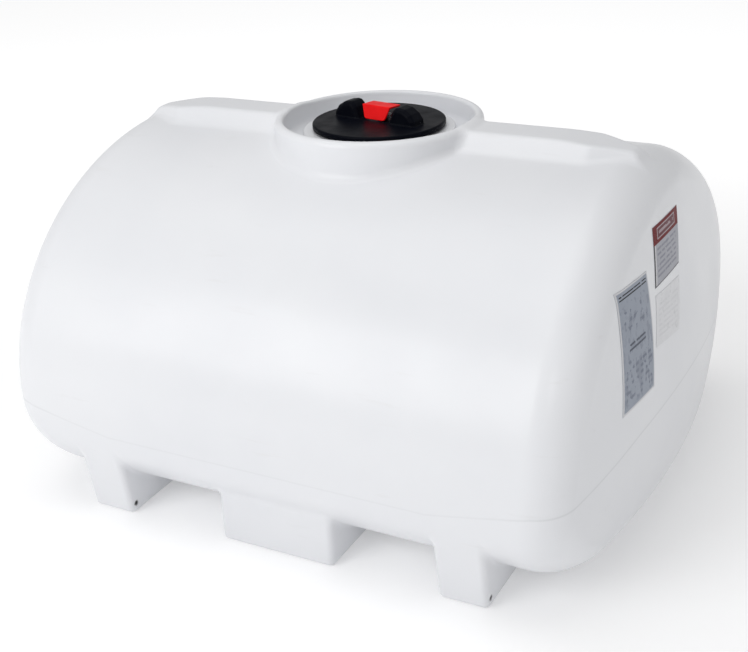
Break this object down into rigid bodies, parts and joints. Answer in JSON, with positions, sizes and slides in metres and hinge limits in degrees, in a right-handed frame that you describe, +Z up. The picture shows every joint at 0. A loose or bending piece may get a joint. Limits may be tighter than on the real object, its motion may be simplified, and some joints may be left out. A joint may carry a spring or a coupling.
{
  "type": "fresh water tank",
  "caption": "Horizontal moulded plastic water tank on legs and a centre block, with a collared fill well, vented lid and drain plug.",
  "frame": {"origin": "under the middle of the tank, level with the undersides of the legs and block", "axes": "+X along the tank towards the end with the labels, -Y to the front, +Z up through the fill neck"},
  "size_m": [1.234, 1.03, 0.719],
  "materials": {
    "shell_polyethylene": "white moulded polyethylene, soft satin sheen",
    "lid_black": "black moulded plastic, satin gloss",
    "lever_red": "red moulded plastic, satin",
    "seal_rubber": "black rubber, dull",
    "steel": "stainless steel, fine turned",
    "fitting_plastic": "dark grey glass-filled plastic",
    "label_white": "printed vinyl with a red band, no text",
    "label_grey": "printed grey vinyl with a white edge, no text",
    "label_clear": "near-white vinyl with faint rules, no text"
  },
  "bodies": {
    "tank": {"tank_shell": "shell_polyethylene", "leg_sleeve_left_front": "steel", "leg_sleeve_left_rear": "steel", "leg_sleeve_right_front": "steel", "leg_sleeve_right_rear": "steel", "fill_ring_gasket": "seal_rubber", "fill_ring": "lid_black", "ring_screw_1": "steel", "ring_screw_2": "steel", "ring_screw_3": "steel", "ring_screw_4": "steel", "ring_screw_5": "steel", "ring_screw_6": "steel", "ring_screw_7": "steel", "ring_screw_8": "steel", "drain_gasket": "seal_rubber", "drain_fitting": "fitting_plastic", "drain_nut": "fitting_plastic", "label_header": "label_white", "label_capacity": "label_grey", "label_care": "label_clear"},
    "lid_seat": {"lid_gasket": "seal_rubber"},
    "lid": {"lid": "lid_black", "lever_pin": "steel", "lever_spring": "steel", "vent_cage": "lid_black", "vent_seal": "seal_rubber", "vent_spring": "steel"},
    "lever": {"vent_lever": "lever_red"},
    "poppet": {"vent_poppet": "lid_black"},
    "plug_carrier": {"plug_washer": "seal_rubber"},
    "plug": {"drain_plug": "fitting_plastic"}
  },
  "joints": [
    {"name": "lid_lift", "type": "slide", "parent": "tank", "child": "lid_seat", "axis": [0, 0, 1], "range_m": [0, 0.15]},
    {"name": "lid_turn", "type": "hinge", "parent": "lid_seat", "child": "lid", "pos_m": [0, 0, 0.68], "axis": [0, 0, 1], "range_deg": [0, 90]},
    {"name": "lever_lift", "type": "hinge", "parent": "lid", "child": "lever", "pos_m": [0.00208, 0.01182, 0.694], "axis": [-0.9848, 0.1736, 0], "range_deg": [0, 25], "stiffness_Nm_per_rad": 0.25},
    {"name": "poppet_open", "type": "slide", "parent": "lid", "child": "poppet", "axis": [0, 0, -1], "range_m": [0, 0.0058], "deforming": ["vent_spring"]},
    {"name": "plug_out", "type": "slide", "parent": "tank", "child": "plug_carrier", "axis": [0, 1, 0], "range_m": [0, 0.0166]},
    {"name": "plug_turn", "type": "hinge", "parent": "plug_carrier", "child": "plug", "pos_m": [0, 0.489, 0.056], "axis": [0, 1, 0], "range_deg": [0, 2520]}
  ],
  "couplings": [
    {"joint": "poppet_open", "follows": "lever_lift", "m_per_rad": 0.013},
    {"joint": "plug_out", "follows": "plug_turn", "m_per_rad": 0.000366}
  ]
}
